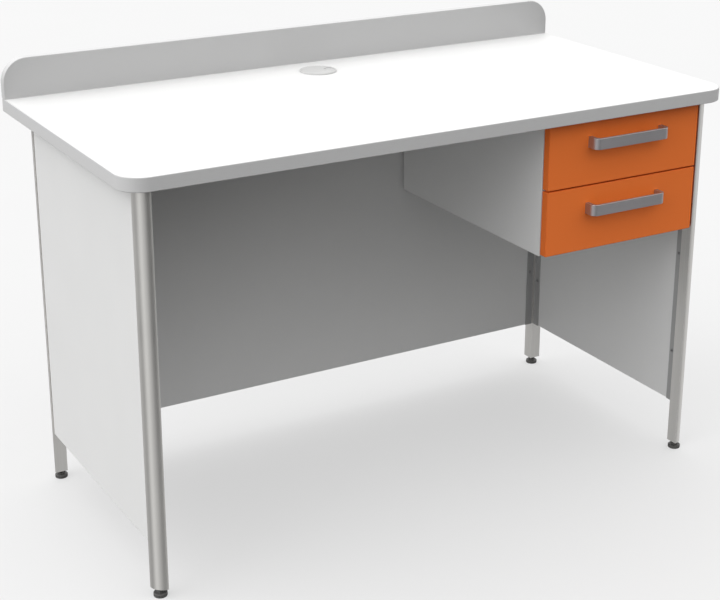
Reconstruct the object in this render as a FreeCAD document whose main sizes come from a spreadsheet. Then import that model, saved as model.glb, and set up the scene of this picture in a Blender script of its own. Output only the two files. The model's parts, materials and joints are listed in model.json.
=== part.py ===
import FreeCAD, Part
import math
import os
import re
import Sketcher
from FreeCAD import Rotation, Vector

# Laboratory table: a white top with a rear upstand on four quarter-round legs, closed by panels at
# the sides and the rear, with a hung pedestal of two drawers under its right half.
# Frame: +X to the sitter's right, +Y to the rear, +Z up. The origin is on the floor, under the
# middle of the overall length and depth. Lengths are in millimetres.

doc = FreeCAD.newDocument("laboratory_table")

# Driving sizes
SIZES = {
    # Tabletop, its edge band and its rear upstand
    "top_length": 1200,
    "top_depth": 593,
    "top_thickness": 24,
    "top_height": 745,
    "top_corner_radius": 45,
    "edge_band": 2,
    "upstand_height": 73.5,
    "upstand_thickness": 16,
    "upstand_corner_radius": 45,
    "upstand_screw_diameter": 6,
    "upstand_screw_head": 10,
    "upstand_screw_head_height": 3,
    "upstand_screw_recess": 4,
    "upstand_screw_bite": 28,
    "upstand_screw_inset": 80,
    # Cable grommet
    "grommet_bore": 60,
    "grommet_flange_lip": 6,
    "grommet_flange_height": 3,
    "grommet_wall": 2,
    "grommet_depth": 20,
    "grommet_setback": 78,
    "cap_lip": 2,
    "cap_thickness": 1.8,
    "cap_rim_depth": 6,
    "cap_rim_wall": 1.5,
    "cap_play": 0.3,
    "cable_notch_width": 16,
    "cable_notch_depth": 17,
    # Legs, their inserts and the levelling feet
    "leg_side": 24,
    "leg_wall": 2,
    "leg_end_inset": 27,
    "leg_front_inset": 20.5,
    "leg_rear_inset": 53.5,
    "leg_floor_gap": 15,
    "insert_length": 30,
    "insert_play": 0.1,
    "foot_inset": 2,
    "foot_diameter": 24,
    "foot_pad_height": 7,
    "foot_chamfer": 1.5,
    "foot_hexagon": 15,
    "foot_hexagon_height": 4,
    "foot_stem_diameter": 8,
    "foot_stem_reach": 24,
    "foot_play": 0.05,
    # Panels between the legs, and the angles that fix them
    "panel_thickness": 16,
    "panel_floor_gap": 99,
    "side_panel_inset": 2,
    "back_panel_inset": 4,
    "angle_width": 16,
    "angle_sheet": 2,
    "angle_screw_spacing": 205,
    "angle_screw_stagger": 20,
    "screw_diameter": 4,
    "screw_head": 8,
    "screw_length": 12,
    "screw_play": 0.1,
    "bracket_length": 60,
    "bracket_screw_spacing": 36,
    "bracket_end_gap": 90,
    # Pedestal and drawer fronts
    "front_width": 340,
    "front_height": 121.5,
    "front_thickness": 16,
    "front_gap": 3,
    "front_top_gap": 2,
    "front_leg_gap": 3,
    "carcass_front_gap": 2,
    "carcass_rear_gap": 6,
    "carcass_drop": 4,
    "carcass_back_sheet": 4,
    "rail_depth": 70,
    "rail_screw_bite": 14,
    "rail_screw_inset": 60,
    # Telescopic slides
    "slide_rear_gap": 71,
    "slide_height": 45,
    "slide_width": 12.7,
    "slide_sheet": 1.2,
    "slide_play": 0.3,
    "slide_mouth": 1.7,
    # Drawer boxes
    "box_board": 12,
    "box_lift": 21,
    "box_top_gap": 20.5,
    "box_bottom_sheet": 4,
    # Handles
    "handle_length": 168,
    "handle_height": 21,
    "handle_projection": 25,
    "handle_bar": 5,
    "handle_post": 8,
    "handle_corner": 12,
    "handle_inner_corner": 6,
    "handle_drop": 41,
    "handle_screw_diameter": 4,
    "handle_screw_head": 8,
    "handle_screw_head_height": 2.5,
    "handle_screw_bite": 9,
}

# Places and lengths that follow from the sizes
PLACES = {
    "handle_overhang": "max(0; handle_projection - leg_front_inset)",
    "top_front_y": "(handle_overhang - top_depth) / 2",
    "top_rear_y": "top_front_y + top_depth",
    "top_under_z": "top_height - top_thickness",
    "upstand_front_y": "top_rear_y - upstand_thickness",
    "upstand_screw_y": "top_rear_y - upstand_thickness / 2",
    "upstand_screw_length": "top_thickness - upstand_screw_recess + upstand_screw_bite",
    "upstand_screw_spacing": "(top_length / 2 - upstand_screw_inset) / 2",
    "grommet_y": "upstand_front_y - grommet_setback",
    "grommet_flange": "grommet_bore + 2 * grommet_flange_lip",
    "grommet_tube": "grommet_bore - 2 * insert_play",
    "grommet_inside": "grommet_tube - 2 * grommet_wall",
    "cap_diameter": "grommet_bore + 2 * cap_lip",
    "cap_seat_z": "grommet_flange_height - cap_thickness",
    "cap_rim": "grommet_inside - 2 * cap_play",
    "cable_notch_x": "(cap_diameter + cable_notch_width) / 2 - cable_notch_depth",
    "leg_outer_x": "top_length / 2 - leg_end_inset",
    "leg_inner_x": "leg_outer_x - leg_side",
    "leg_front_y": "top_front_y + leg_front_inset",
    "front_leg_back_y": "leg_front_y + leg_side",
    "rear_leg_rear_y": "top_rear_y - leg_rear_inset",
    "rear_leg_front_y": "rear_leg_rear_y - leg_side",
    "leg_length": "top_under_z - leg_floor_gap",
    "foot_offset": "leg_side / 2 - foot_inset",
    "foot_stem_length": "leg_floor_gap - foot_pad_height - foot_hexagon_height + foot_stem_reach",
    "panel_height": "top_under_z - panel_floor_gap",
    "side_panel_inner_x": "leg_outer_x - side_panel_inset - panel_thickness",
    "side_panel_front_y": "front_leg_back_y + angle_sheet",
    "side_panel_length": "rear_leg_front_y - front_leg_back_y - 2 * angle_sheet",
    "back_panel_front_y": "rear_leg_rear_y - back_panel_inset - panel_thickness",
    "back_panel_half": "leg_inner_x - angle_sheet",
    "flange_middle": "(angle_width + angle_sheet) / 2",
    "side_angle_x": "side_panel_inner_x - angle_sheet",
    "back_angle_y": "back_panel_front_y - angle_sheet",
    "side_screw_along": "side_angle_x + flange_middle - leg_inner_x",
    "back_screw_along": "back_angle_y + flange_middle - rear_leg_front_y",
    "screw_grip": "screw_length - angle_sheet",
    "front_right_x": "leg_inner_x - front_leg_gap",
    "front_left_x": "front_right_x - front_width",
    "front_middle_x": "front_right_x - front_width / 2",
    "front_back_y": "leg_front_y + front_thickness",
    "carcass_front_y": "front_back_y + carcass_front_gap",
    "carcass_rear_y": "back_panel_front_y - carcass_rear_gap",
    "carcass_depth": "carcass_rear_y - carcass_front_y",
    "carcass_height": "front_top_gap + 2 * front_height + front_gap + carcass_drop",
    "carcass_bottom_z": "top_under_z - carcass_height",
    "lower_front_z": "carcass_bottom_z + carcass_drop",
    "carcass_left_x": "front_left_x + panel_thickness",
    "carcass_right_x": "front_right_x - panel_thickness",
    "carcass_inside": "carcass_right_x - carcass_left_x",
    "rail_z": "top_under_z - panel_thickness",
    "carcass_back_y": "carcass_rear_y - carcass_back_sheet",
    "rear_rail_y": "carcass_back_y - rail_depth",
    "slide_length": "carcass_back_y - carcass_front_y - slide_rear_gap",
    "slide_middle_y": "carcass_front_y + slide_length / 2",
    "slide_flange": "slide_width - slide_mouth",
    "middle_member_x": "slide_sheet + slide_play",
    "inner_member_x": "2 * (slide_sheet + slide_play)",
    "middle_member_depth": "slide_flange - middle_member_x",
    "inner_member_depth": "slide_width - inner_member_x",
    "middle_member_height": "slide_height - 2 * (slide_sheet + slide_play)",
    "inner_member_height": "middle_member_height - 2 * (slide_sheet + slide_play)",
    "box_left_x": "carcass_left_x + slide_width",
    "box_right_x": "carcass_right_x - slide_width",
    "box_width": "box_right_x - box_left_x",
    "box_length": "slide_length + carcass_front_gap",
    "box_back_y": "front_back_y + box_length - box_board",
    "box_height": "front_height - box_lift - box_top_gap",
    "box_side_height": "box_height - box_bottom_sheet",
    "tier_step": "front_height + front_gap",
    "handle_post_x": "(handle_length - handle_post) / 2",
    "handle_screw_length": "front_thickness + handle_screw_bite",
}

SHEET_OF = {name: "Sizes" for name in SIZES} | {name: "Places" for name in PLACES}


def formula(text, home=None):
    """Turn a formula in plain names into one that names each cell's sheet."""
    def cell(match):
        word = match.group()
        sheet = SHEET_OF.get(word)
        return word if sheet in (None, home) else f"{sheet}.{word}"
    return re.sub(r"[a-z_]\w*", cell, text)


def fill_sheet(title, contents):
    """Write one named cell a row, with its name beside it."""
    sheet = doc.addObject("Spreadsheet::Sheet", title)
    for row, (name, content) in enumerate(contents.items(), start=1):
        sheet.set(f"A{row}", name)
        sheet.set(f"B{row}", content)
        sheet.setAlias(f"B{row}", name)
    doc.recompute()


fill_sheet("Sizes", {name: str(number) for name, number in SIZES.items()})
fill_sheet("Places", {name: "=" + formula(text, "Places") for name, text in PLACES.items()})

# Ways that a rod, cone or screw can point, from its own +Z
UP = Rotation()
DOWN = Rotation(Vector(1, 0, 0), 180)
RIGHT = Rotation(Vector(0, 1, 0), 90)
LEFT = Rotation(Vector(0, 1, 0), -90)
REARWARD = Rotation(Vector(1, 0, 0), -90)
FORWARD = Rotation(Vector(1, 0, 0), 90)
HERE = ("0", "0", "0")

# Closer than this, two coordinates are the same
TINY = 0.01

nodes = []
bases = {}


def bind(item, **formulas):
    for name, text in formulas.items():
        item.setExpression(name, formula(text))


def put(item, at, turn=UP):
    """Turn an item, and bind its place to three formulas."""
    item.Placement = FreeCAD.Placement(Vector(), turn)
    for axis, text in zip("xyz", at):
        item.setExpression(f"Placement.Base.{axis}", formula(text))


def new_body(name, at=HERE, turn=UP, is_node=True):
    body = doc.addObject("PartDesign::Body", name)
    body.Label = name
    put(body, at, turn)
    bases[body.Name] = at
    if is_node:
        nodes.append(body)
    return body


def block(body, size, at=HERE, cut=False):
    kind = "PartDesign::SubtractiveBox" if cut else "PartDesign::AdditiveBox"
    box = body.newObject(kind, "block")
    length, width, height = size
    bind(box, Length=length, Width=width, Height=height)
    put(box, at)


def board(name, size, at):
    """A plain board as a node of its own."""
    body = new_body(name, at)
    block(body, size)
    return body


def rod(body, diameter, length, at=HERE, turn=UP, cut=False):
    kind = "PartDesign::SubtractiveCylinder" if cut else "PartDesign::AdditiveCylinder"
    cylinder = body.newObject(kind, "rod")
    bind(cylinder, Radius=f"({diameter}) / 2", Height=length)
    put(cylinder, at, turn)


def cone(body, wide, narrow, length, at=HERE, turn=UP, cut=False):
    kind = "PartDesign::SubtractiveCone" if cut else "PartDesign::AdditiveCone"
    taper = body.newObject(kind, "cone")
    bind(taper, Radius1=f"({wide}) / 2", Radius2=f"({narrow}) / 2", Height=length)
    put(taper, at, turn)


def upright(box):
    """Whether an edge's box is that of an edge along Z."""
    return max(box.XLength, box.YLength) < TINY


def crosswise(box):
    """Whether an edge's box is that of an edge along Y."""
    return max(box.XLength, box.ZLength) < TINY


def soften(body, kind, size, wanted):
    """Fillet or chamfer the edges whose boxes pass a test."""
    doc.recompute()
    base = body.Tip
    edges = enumerate(base.Shape.Edges, start=1)
    names = [f"Edge{number}" for number, edge in edges if wanted(edge.BoundBox)]
    feature = body.newObject("PartDesign::" + kind, kind.lower())
    feature.Base = (base, names)
    bind(feature, **{"Radius" if kind == "Fillet" else "Size": size})


def about_z(degrees):
    return Rotation(Vector(0, 0, 1), degrees)


def turned(x, y, degrees):
    """Two formulas as they stand after quarter turns about Z."""
    return {
        0: (f"({x})", f"({y})"),
        90: (f"(-({y}))", f"({x})"),
        180: (f"(-({x}))", f"(-({y}))"),
        270: (f"({y})", f"(-({x}))"),
    }[degrees]


def size_of(name):
    return float(doc.getObject(SHEET_OF[name]).get(name))


def group(name, template, places):
    """One node of like pieces: a link to the template at each place and turn."""
    links = []
    for at, turn in places:
        link = doc.addObject("App::Link", template.Name + "_link")
        link.LinkedObject = template
        put(link, at, turn)
        links.append(link)
    compound = doc.addObject("Part::Compound", name)
    compound.Label = name
    compound.Links = links
    nodes.append(compound)


def origin_sketch(body, role):
    """A sketch on one of the body's own origin planes."""
    plane = next(item for item in body.Origin.OriginFeatures if item.Role == role)
    sketch = body.newObject("Sketcher::SketchObject", "outline")
    sketch.AttachmentSupport = [(plane, "")]
    sketch.MapMode = "FlatFace"
    return sketch


def hold(sketch, kind, *where, size):
    """A dimension of a sketch, bound to a formula."""
    number = sketch.addConstraint(Sketcher.Constraint(kind, *where, 1.0))
    sketch.setExpression(f"Constraints[{number}]", formula(size))


def polygon(body, corners, role="XY_Plane"):
    """A closed sketch of straight lines, with each corner held at its two formulas."""
    sketch = origin_sketch(body, role)
    count = len(corners)
    turn = [Rotation(Vector(0, 0, 1), 360 * number / count) for number in range(count + 1)]
    rough = [rotation.multVec(Vector(10, 0, 0)) for rotation in turn]
    for start, end in zip(rough, rough[1:]):
        sketch.addGeometry(Part.LineSegment(start, end))
    for line, (x, y) in enumerate(corners):
        sketch.addConstraint(Sketcher.Constraint("Coincident", line - 1 if line else count - 1, 2, line, 1))
        hold(sketch, "DistanceX", -1, 1, line, 1, size=x)
        hold(sketch, "DistanceY", -1, 1, line, 1, size=y)
    return sketch


def pad(body, sketch, length):
    feature = body.newObject("PartDesign::Pad", "pad")
    feature.Profile = sketch
    bind(feature, Length=length)
    return feature


# Screws point along their own +Z, from the face that the head lies in or on
def countersunk_screw(name, length):
    screw = new_body(name, is_node=False)
    cone(screw, "screw_head", "screw_diameter", "angle_sheet")
    rod(screw, "screw_diameter", f"{length} - angle_sheet", ("0", "0", "angle_sheet"))
    return screw


def headed_screw(name, head, head_height, diameter, length):
    screw = new_body(name, is_node=False)
    rod(screw, head, head_height, ("0", "0", f"-{head_height}"))
    rod(screw, diameter, length)
    return screw


def countersink(body, at, turn):
    """The tapered hole that takes a countersunk head."""
    wide, narrow = (f"{size} + 2 * screw_play" for size in ("screw_head", "screw_diameter"))
    cone(body, wide, narrow, "angle_sheet", at, turn, cut=True)


def bore(body, diameter, depth, at, turn):
    """A straight hole with a screw's clearance."""
    rod(body, f"{diameter} + 2 * screw_play", depth, at, turn, cut=True)


def pilot(body, at, turn):
    """The hole that takes the shank of an angle's screw."""
    bore(body, "screw_diameter", "screw_grip + screw_play", at, turn)


def inside(body, at):
    """A place in the table's frame as one in the frame of a body that isn't turned."""
    return tuple(f"{place} - ({base})" for place, base in zip(at, bases[body.Name]))


# Tabletop: a board with rounded front corners and a thin band glued round its edge
def top_slab(name, inset, is_node):
    at = (f"{inset} - top_length / 2", f"top_front_y + {inset}", "top_under_z")
    slab = new_body(name, at, is_node=is_node)
    block(slab, (f"top_length - 2 * {inset}", f"top_depth - 2 * {inset}", "top_thickness"))
    soften(slab, "Fillet", f"top_corner_radius - {inset}", lambda box: upright(box) and box.YMax < TINY)
    return slab


UPSTAND_SCREWS = [f"{place} * upstand_screw_spacing" for place in (-2, -1, 0, 1, 2)]

tabletop = top_slab("tabletop", "edge_band", True)
rod(tabletop, "grommet_bore", "top_thickness", inside(tabletop, ("0", "grommet_y", "top_under_z")), cut=True)
for x in UPSTAND_SCREWS:
    under = inside(tabletop, (x, "upstand_screw_y", "top_under_z"))
    bore(tabletop, "upstand_screw_diameter", "top_thickness", under, UP)
    bore(tabletop, "upstand_screw_head", "upstand_screw_recess", under, UP)

edge_band = doc.addObject("Part::Cut", "tabletop_edge_band")
edge_band.Label = "tabletop_edge_band"
edge_band.Base = top_slab("whole_slab", "0", False)
edge_band.Tool = top_slab("board_slab", "edge_band", False)
nodes.append(edge_band)

# Rear upstand: a board on edge at the rear of the top, with rounded upper corners, screwed from below
upstand = new_body("rear_upstand", ("-top_length / 2", "upstand_front_y", "top_height"))
block(upstand, ("top_length", "upstand_thickness", "upstand_height"))
soften(upstand, "Fillet", "upstand_corner_radius", lambda box: crosswise(box) and box.ZMin > TINY)
for x in UPSTAND_SCREWS:
    foot_of_board = inside(upstand, (x, "upstand_screw_y", "top_height"))
    bore(upstand, "upstand_screw_diameter", "upstand_screw_bite + screw_play", foot_of_board, UP)
upstand_screw = headed_screw("upstand_screw", "upstand_screw_head", "upstand_screw_head_height",
                             "upstand_screw_diameter", "upstand_screw_length")
upstand_seat_z = "top_under_z + upstand_screw_recess"
group("upstand_screws", upstand_screw, [((x, "upstand_screw_y", upstand_seat_z), UP) for x in UPSTAND_SCREWS])

# Cable grommet: a flanged sleeve in the top, and a cap that turns in its seat to bring the notch round
sleeve = new_body("grommet_sleeve", ("0", "grommet_y", "top_height"))
rod(sleeve, "grommet_flange", "grommet_flange_height")
rod(sleeve, "grommet_tube", "grommet_depth", turn=DOWN)
rod(sleeve, "grommet_inside", "grommet_depth + grommet_flange_height", ("0", "0", "-grommet_depth"), cut=True)
rod(sleeve, "cap_diameter + 2 * cap_play", "cap_thickness", ("0", "0", "cap_seat_z"), cut=True)

cap = new_body("grommet_cap", ("0", "grommet_y", "top_height + cap_seat_z + cap_play"))
rod(cap, "cap_diameter", "cap_thickness - cap_play")
rod(cap, "cap_rim", "cap_rim_depth", turn=DOWN)
rod(cap, "cap_rim - 2 * cap_rim_wall", "cap_rim_depth", turn=DOWN, cut=True)
notch_height = "cap_rim_depth + cap_thickness"
block(cap, ("cable_notch_depth", "cable_notch_width", notch_height),
      ("cable_notch_x", "-cable_notch_width / 2", "-cap_rim_depth"), cut=True)
rod(cap, "cable_notch_width", notch_height, ("cable_notch_x", "0", "-cap_rim_depth"), cut=True)

# Legs: hollow quarter-round sections, rounded to the outside, with a plug in the lower end
HEIGHTS = [f"panel_height / 2 + {step} * angle_screw_spacing" for step in (-1, 0, 1)]
BACK_HEIGHTS = [f"{height} + angle_screw_stagger" for height in HEIGHTS]


def quarter(sketch, corner, radius):
    """A quarter-round wire: two walls from an inner corner, closed by an arc about the origin."""
    line, arc, wall = (sketch.GeometryCount + step for step in range(3))
    near, far, lean = 2.0, 20.0, 0.1
    sketch.addGeometry(Part.LineSegment(Vector(near, near), Vector(far, near)))
    round_wall = Part.Circle(Vector(), Vector(0, 0, 1), far)
    sketch.addGeometry(Part.ArcOfCircle(round_wall, lean, math.pi / 2 - lean))
    sketch.addGeometry(Part.LineSegment(Vector(near, far), Vector(near, near)))
    joints = [((line, 2), (arc, 1)), ((arc, 2), (wall, 1)), ((wall, 2), (line, 1)), ((arc, 3), (-1, 1))]
    for first, second in joints:
        sketch.addConstraint(Sketcher.Constraint("Coincident", *first, *second))
    sketch.addConstraint(Sketcher.Constraint("Horizontal", line))
    sketch.addConstraint(Sketcher.Constraint("Vertical", wall))
    hold(sketch, "Radius", arc, size=radius)
    hold(sketch, "DistanceX", -1, 1, line, 1, size=corner)
    hold(sketch, "DistanceY", -1, 1, line, 1, size=corner)


def leg(name, at, degrees, front_holes, side_holes):
    """A leg whose rounding faces its own +X and +Y; the holes lie along its two flat walls."""
    body = new_body(name, at, about_z(degrees))
    section = origin_sketch(body, "XY_Plane")
    quarter(section, "0", "leg_side")
    quarter(section, "leg_wall", "leg_side - leg_wall")
    pad(body, section, "leg_length")
    rise = "panel_floor_gap - leg_floor_gap"
    for along, heights in front_holes:
        for height in heights:
            bore(body, "screw_diameter", "leg_wall", (along, "0", f"{height} + {rise}"), REARWARD)
    for along, heights in side_holes:
        for height in heights:
            bore(body, "screw_diameter", "leg_wall", ("0", along, f"{height} + {rise}"), RIGHT)


SIDE_HOLES = [("side_screw_along", HEIGHTS)]
BACK_HOLES = [("back_screw_along", BACK_HEIGHTS)]
LEGS = {
    "front_left": (("-leg_inner_x", "front_leg_back_y", "leg_floor_gap"), 180, SIDE_HOLES, []),
    "front_right": (("leg_inner_x", "front_leg_back_y", "leg_floor_gap"), 270, [], SIDE_HOLES),
    "rear_left": (("-leg_inner_x", "rear_leg_front_y", "leg_floor_gap"), 90, BACK_HOLES, SIDE_HOLES),
    "rear_right": (("leg_inner_x", "rear_leg_front_y", "leg_floor_gap"), 0, SIDE_HOLES, BACK_HOLES),
}
for corner, (at, degrees, front_holes, side_holes) in LEGS.items():
    leg(f"{corner}_leg", at, degrees, front_holes, side_holes)

insert = new_body("leg_insert", is_node=False)
insert_section = origin_sketch(insert, "XY_Plane")
quarter(insert_section, "leg_wall + insert_play", "leg_side - leg_wall - insert_play")
pad(insert, insert_section, "insert_length")
stem_place = ("foot_offset", "foot_offset", "0")
rod(insert, "foot_stem_diameter + 2 * foot_play", "insert_length", stem_place, cut=True)
group("leg_inserts", insert, [(at, about_z(degrees)) for at, degrees, _, _ in LEGS.values()])

# Levelling feet: a round pad, a hexagon for the spanner and a stem in the leg's plug
for corner, (at, degrees, _, _) in LEGS.items():
    shift_x, shift_y = turned("foot_offset", "foot_offset", degrees)
    foot = new_body(f"{corner}_foot", (f"{at[0]} + {shift_x}", f"{at[1]} + {shift_y}", "0"))
    rod(foot, "foot_diameter", "foot_pad_height")
    soften(foot, "Chamfer", "foot_chamfer", lambda box: box.ZLength < TINY)
    hexagon = foot.newObject("PartDesign::AdditivePrism", "hexagon")
    bind(hexagon, Circumradius="foot_hexagon / 2", Height="foot_hexagon_height")
    put(hexagon, ("0", "0", "foot_pad_height"))
    rod(foot, "foot_stem_diameter", "foot_stem_length", ("0", "0", "foot_pad_height + foot_hexagon_height"))

# Panels between the legs: one at each side and one at the rear
side_size = ("panel_thickness", "side_panel_length", "panel_height")
back_size = ("2 * back_panel_half", "panel_thickness", "panel_height")
left_at = ("-side_panel_inner_x - panel_thickness", "side_panel_front_y", "panel_floor_gap")
right_at = ("side_panel_inner_x", "side_panel_front_y", "panel_floor_gap")
back_at = ("-back_panel_half", "back_panel_front_y", "panel_floor_gap")
left_panel = board("left_side_panel", side_size, left_at)
right_panel = board("right_side_panel", side_size, right_at)
back_panel = board("modesty_panel", back_size, back_at)
first_hole = "flange_middle - angle_sheet"
for height in HEIGHTS:
    for y in (first_hole, f"side_panel_length - ({first_hole})"):
        pilot(left_panel, ("panel_thickness", y, height), LEFT)
        pilot(right_panel, ("0", y, height), RIGHT)
for height in BACK_HEIGHTS:
    for x in (first_hole, f"2 * back_panel_half - ({first_hole})"):
        pilot(back_panel, (x, "0", height), REARWARD)


# Fixing angles: one arm lies along -X and one along +Y from the outer corner at the origin
def angle_section(name, length, at=HERE, turn=UP, is_node=True):
    body = new_body(name, at, turn, is_node)
    width, sheet = "angle_width", "angle_sheet"
    section = polygon(body, [("0", "0"), ("0", width), (f"-{sheet}", width), (f"-{sheet}", sheet),
                             (f"-{width}", sheet), (f"-{width}", "0")])
    pad(body, section, length)
    return body


# Screw places on an angle: one arm's screw goes into the corner that the panel fills, the other
# arm's goes out of it, into the leg. On a mirrored angle the two arms change over.
PLAIN_SCREWS = [(("0", "flange_middle"), LEFT), (("-flange_middle", "angle_sheet"), FORWARD)]
MIRRORED_SCREWS = [(("-angle_sheet", "flange_middle"), RIGHT), (("-flange_middle", "0"), REARWARD)]
ANGLES = {
    "front_left_angle": ("-side_angle_x", "front_leg_back_y", 0, PLAIN_SCREWS, HEIGHTS),
    "front_right_angle": ("side_angle_x", "front_leg_back_y", 270, MIRRORED_SCREWS, HEIGHTS),
    "rear_left_side_angle": ("-side_angle_x", "rear_leg_front_y", 90, MIRRORED_SCREWS, HEIGHTS),
    "rear_right_side_angle": ("side_angle_x", "rear_leg_front_y", 180, PLAIN_SCREWS, HEIGHTS),
    "rear_left_back_angle": ("-leg_inner_x", "back_angle_y", 270, PLAIN_SCREWS, BACK_HEIGHTS),
    "rear_right_back_angle": ("leg_inner_x", "back_angle_y", 0, MIRRORED_SCREWS, BACK_HEIGHTS),
}
screw_places = []
for name, (x, y, degrees, screws, heights) in ANGLES.items():
    angle = angle_section(name, "panel_height", (x, y, "panel_floor_gap"), about_z(degrees))
    for (screw_x, screw_y), way in screws:
        shift_x, shift_y = turned(screw_x, screw_y, degrees)
        for height in heights:
            countersink(angle, (screw_x, screw_y, height), way)
            place = (f"{x} + {shift_x}", f"{y} + {shift_y}", f"panel_floor_gap + {height}")
            screw_places.append((place, about_z(degrees) * way))

# Short angles that hold the top on the left and rear panels
bracket = angle_section("top_bracket", "bracket_length", is_node=False)
BRACKET_HEIGHTS = [f"bracket_length / 2 + {side} * bracket_screw_spacing / 2" for side in (-1, 1)]
for height in BRACKET_HEIGHTS:
    countersink(bracket, ("-angle_sheet", "flange_middle", height), RIGHT)
    countersink(bracket, ("-flange_middle", "angle_sheet", height), FORWARD)

ON_LEFT_PANEL = Rotation(Vector(-1, 0, 0), Vector(0, 0, -1), Vector(0, -1, 0), "XYZ")
ON_BACK_PANEL = Rotation(Vector(0, 1, 0), Vector(0, 0, -1), Vector(-1, 0, 0), "XYZ")
brackets = []
for middle in ("side_panel_front_y + bracket_end_gap", "rear_leg_front_y - angle_sheet - bracket_end_gap"):
    brackets.append((("-side_panel_inner_x", f"{middle} + bracket_length / 2", "top_under_z"), ON_LEFT_PANEL))
    for side in (-1, 1):
        y = f"{middle} + {side} * bracket_screw_spacing / 2"
        in_panel = ("-side_panel_inner_x", y, "top_under_z - flange_middle")
        in_top = ("flange_middle - side_panel_inner_x", y, "top_under_z")
        pilot(left_panel, inside(left_panel, in_panel), LEFT)
        pilot(tabletop, inside(tabletop, in_top), UP)
        screw_places.append(((f"{in_panel[0]} + angle_sheet", *in_panel[1:]), LEFT))
        screw_places.append(((*in_top[:2], "top_under_z - angle_sheet"), UP))
for middle in ("bracket_end_gap - back_panel_half", "front_left_x - bracket_end_gap"):
    brackets.append(((f"{middle} + bracket_length / 2", "back_panel_front_y", "top_under_z"), ON_BACK_PANEL))
    for side in (-1, 1):
        x = f"{middle} + {side} * bracket_screw_spacing / 2"
        in_panel = (x, "back_panel_front_y", "top_under_z - flange_middle")
        in_top = (x, "back_panel_front_y - flange_middle", "top_under_z")
        pilot(back_panel, inside(back_panel, in_panel), REARWARD)
        pilot(tabletop, inside(tabletop, in_top), UP)
        screw_places.append(((x, "back_panel_front_y - angle_sheet", in_panel[2]), REARWARD))
        screw_places.append(((*in_top[:2], "top_under_z - angle_sheet"), UP))
group("top_brackets", bracket, brackets)
group("angle_screws", countersunk_screw("angle_screw", "screw_length"), screw_places)

# Pedestal: an open-fronted box hung from the top by its two rails
carcass_side = ("panel_thickness", "carcass_depth", "carcass_height")
carcass_bottom = ("carcass_inside", "carcass_depth - carcass_back_sheet", "panel_thickness")
carcass_back = ("carcass_inside", "carcass_back_sheet", "carcass_height")
board("pedestal_left_side", carcass_side, ("front_left_x", "carcass_front_y", "carcass_bottom_z"))
board("pedestal_right_side", carcass_side, ("carcass_right_x", "carcass_front_y", "carcass_bottom_z"))
board("pedestal_bottom", carcass_bottom, ("carcass_left_x", "carcass_front_y", "carcass_bottom_z"))
board("pedestal_back", carcass_back, ("carcass_left_x", "carcass_back_y", "carcass_bottom_z"))
rail_screws = []
for name, y in (("pedestal_front_rail", "carcass_front_y"), ("pedestal_rear_rail", "rear_rail_y")):
    rail = board(name, ("carcass_inside", "rail_depth", "panel_thickness"), ("carcass_left_x", y, "rail_z"))
    for x in ("carcass_left_x + rail_screw_inset", "carcass_right_x - rail_screw_inset"):
        head = (x, f"{y} + rail_depth / 2", "rail_z")
        countersink(rail, inside(rail, head), UP)
        bore(rail, "screw_diameter", "panel_thickness", inside(rail, head), UP)
        above = inside(tabletop, (*head[:2], "top_under_z"))
        bore(tabletop, "screw_diameter", "rail_screw_bite + screw_play", above, UP)
        rail_screws.append((head, UP))
rail_screw = countersunk_screw("rail_screw", "panel_thickness + rail_screw_bite")
group("pedestal_screws", rail_screw, rail_screws)


# Telescopic slides: three nested channels, each running in the next one out
def channel(name, at, degrees, section, web_at_start):
    """A channel centred on its slide, from a distance off the carcass, with a depth and a height."""
    start, depth, height = section
    body = new_body(name, at, about_z(degrees))
    block(body, (depth, "slide_length", height), (start, "-slide_length / 2", f"-{height} / 2"))
    hollow_start = f"{start} + slide_sheet" if web_at_start else start
    hollow = (f"{depth} - slide_sheet", "slide_length", f"{height} - 2 * slide_sheet")
    block(body, hollow, (hollow_start, "-slide_length / 2", f"slide_sheet - {height} / 2"), cut=True)


def slide(name, wall_x, z, degrees):
    at = (wall_x, "slide_middle_y", z)
    outer = ("0", "slide_flange", "slide_height")
    middle = ("middle_member_x", "middle_member_depth", "middle_member_height")
    inner = ("inner_member_x", "inner_member_depth", "inner_member_height")
    channel(f"{name}_outer", at, degrees, outer, web_at_start=True)
    channel(f"{name}_middle", at, degrees, middle, web_at_start=True)
    channel(f"{name}_inner", at, degrees, inner, web_at_start=False)


# Handles: bows of flat bar on two posts, each held by two screws through the drawer front
def handle(name, z):
    body = new_body(name, ("front_middle_x", "leg_front_y", f"{z} - handle_height / 2"))
    half, post = "handle_length / 2", "(handle_length / 2 - handle_post)"
    reach, back = "-handle_projection", "(handle_bar - handle_projection)"
    bow = polygon(body, [(f"-{half}", "0"), (f"-{half}", reach), (half, reach), (half, "0"),
                         (post, "0"), (post, back), (f"-{post}", back), (f"-{post}", "0")])
    pad(body, bow, "handle_height")
    bar_front = -size_of("handle_projection")
    bar_back = bar_front + size_of("handle_bar")
    for size, y in (("handle_inner_corner", bar_back), ("handle_corner", bar_front)):
        soften(body, "Fillet", size, lambda box: upright(box) and abs(box.YMax - y) < TINY)
    for side in (-1, 1):
        seat = (f"{side} * handle_post_x", "0", "handle_height / 2")
        bore(body, "handle_screw_diameter", "handle_screw_bite + screw_play", seat, FORWARD)


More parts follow.
